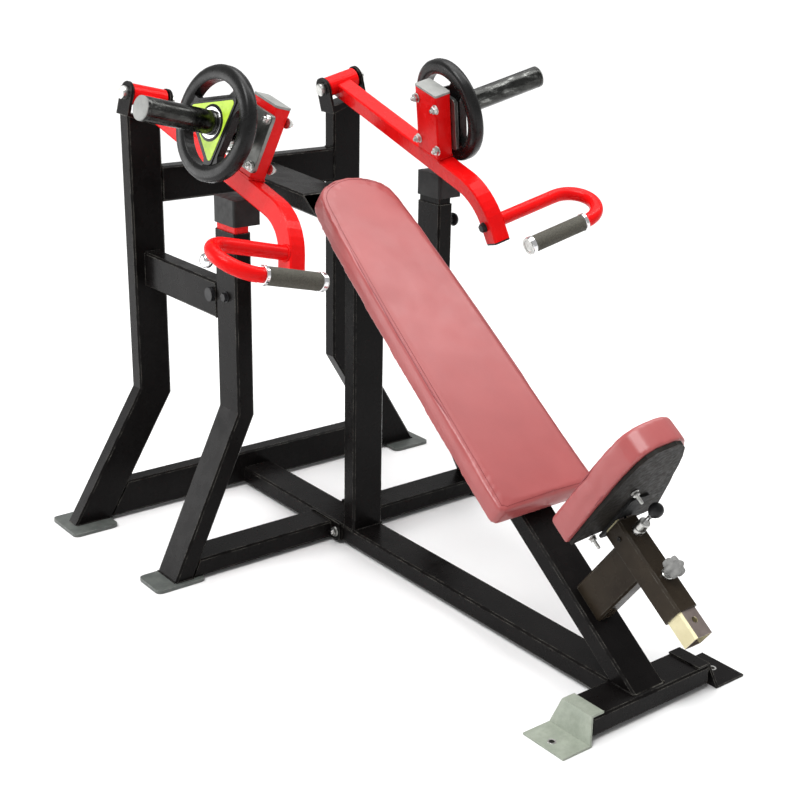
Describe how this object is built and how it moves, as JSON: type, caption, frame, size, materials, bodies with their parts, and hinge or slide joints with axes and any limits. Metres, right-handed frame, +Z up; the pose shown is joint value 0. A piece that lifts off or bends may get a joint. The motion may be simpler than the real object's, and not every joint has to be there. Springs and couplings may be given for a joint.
{
  "type": "chest press machine",
  "caption": "Plate-loaded incline chest press: splayed steel frame, long inclined back pad, sliding seat, twin pivoting arms with weight horns and U handles.",
  "frame": {"origin": "centre of the bounding box footprint, on the floor", "axes": "+Z up, -Y towards the seat end (front), +X to the machine's right as seen from the seat end, the two press arms mirrored about X = 0"},
  "size_m": [1.036, 1.5331, 1.0912],
  "materials": {
    "satin_black": "satin powder coat",
    "gloss_red": "gloss powder coat",
    "zinc_steel": "bare or zinc-plated steel",
    "chrome": "polished",
    "grey_paint": "worn grey",
    "grey_cap": "matte",
    "black_rubber": "matte",
    "black_plastic": "satin",
    "rose_vinyl": "satin vinyl upholstery",
    "dark_board": "painted board"
  },
  "bodies": {
    "frame": {"back_board": "dark_board", "back_pad": "rose_vinyl", "base_flange_L": "satin_black", "base_flange_R": "satin_black", "bench_tube": "satin_black", "centre_beam": "satin_black", "centre_column": "satin_black", "clevis_L": "satin_black", "clevis_R": "satin_black", "foot_plate_front_L": "grey_paint", "foot_plate_front_R": "grey_paint", "foot_plate_rear_L": "grey_paint", "foot_plate_rear_R": "grey_paint", "front_base_bar_L": "satin_black", "front_base_bar_R": "satin_black", "front_post_L": "satin_black", "front_post_R": "satin_black", "nose_crossbar": "satin_black", "nose_foot_L": "grey_paint", "nose_foot_R": "satin_black", "pivot_bolt_L": "zinc_steel", "pivot_bolt_R": "zinc_steel", "rail_cap_L": "black_plastic", "rail_cap_R": "black_plastic", "rear_base_crossbar": "satin_black", "rear_post_L": "satin_black", "rear_post_R": "satin_black", "seat_sleeve": "satin_black", "seat_stub": "satin_black", "side_rail_L": "satin_black", "side_rail_R": "satin_black", "top_crossbar": "satin_black", "top_spine": "satin_black"},
    "arm_L": {"press_arm_L": "gloss_red", "arm_end_cap_L": "black_plastic", "mast_cap_L": "grey_cap", "weight_horn_L": "zinc_steel", "handle_L": "gloss_red", "hand_grip_L": "black_rubber"},
    "arm_R": {"press_arm_R": "gloss_red", "arm_end_cap_R": "black_plastic", "mast_cap_R": "grey_cap", "weight_horn_R": "zinc_steel", "handle_R": "gloss_red", "hand_grip_R": "black_rubber"},
    "plate_L": {"weight_plate_L": "black_rubber"},
    "plate_R": {"weight_plate_R": "black_rubber"},
    "seat": {"seat_inner_tube": "zinc_steel", "seat_bracket": "satin_black", "seat_board": "dark_board", "seat_pad": "rose_vinyl"},
    "seat_pin": {"seat_pull_pin": "chrome"},
    "seat_knob": {"seat_clamp_knob": "black_plastic"},
    "stop_L": {"stop_post_L": "satin_black", "stop_bumper_L": "black_rubber"},
    "stop_R": {"stop_post_R": "satin_black", "stop_bumper_R": "black_rubber"},
    "stop_knob_L": {"stop_pin_L": "chrome"},
    "stop_knob_R": {"stop_pin_R": "black_plastic"}
  },
  "joints": [
    {"name": "press_arm_L_pivot", "type": "hinge", "parent": "frame", "child": "arm_L", "pos_m": [-0.2608, 0.6997, 0.9756], "axis": [-0.9724, 0, 0.2334], "range_deg": [0, 50]},
    {"name": "weight_plate_L_slide", "type": "slide", "parent": "arm_L", "child": "plate_L", "axis": [-0.9616, -0.1051, 0.2535], "range_m": [0, 0.24]},
    {"name": "press_arm_R_pivot", "type": "hinge", "parent": "frame", "child": "arm_R", "pos_m": [0.2608, 0.6997, 0.9756], "axis": [-0.9724, 0, -0.2334], "range_deg": [0, 50]},
    {"name": "weight_plate_R_slide", "type": "slide", "parent": "arm_R", "child": "plate_R", "axis": [0.9616, -0.1051, 0.2535], "range_m": [0, 0.3]},
    {"name": "seat_slide", "type": "slide", "parent": "frame", "child": "seat", "axis": [0, 0.809, 0.5878], "range_m": [0, 0.09]},
    {"name": "seat_pin_pull", "type": "slide", "parent": "frame", "child": "seat_pin", "axis": [0, -0.5878, 0.809], "range_m": [0, 0.01], "stiffness_N_per_m": 400},
    {"name": "seat_knob_turn", "type": "hinge", "parent": "frame", "child": "seat_knob", "pos_m": [0, -0.65299, 0.26659], "axis": [0, -0.5878, 0.809], "range_deg": [0, 350]},
    {"name": "stop_L_height", "type": "slide", "parent": "frame", "child": "stop_L", "axis": [0, 0, 1], "range_m": [-0.012, 0]},
    {"name": "stop_pin_L_pull", "type": "slide", "parent": "frame", "child": "stop_knob_L", "axis": [-1, 0, 0], "range_m": [0, 0.01], "stiffness_N_per_m": 400},
    {"name": "stop_R_height", "type": "slide", "parent": "frame", "child": "stop_R", "axis": [0, 0, 1], "range_m": [-0.012, 0]},
    {"name": "stop_pin_R_pull", "type": "slide", "parent": "frame", "child": "stop_knob_R", "axis": [1, 0, 0], "range_m": [0, 0.01], "stiffness_N_per_m": 400}
  ]
}
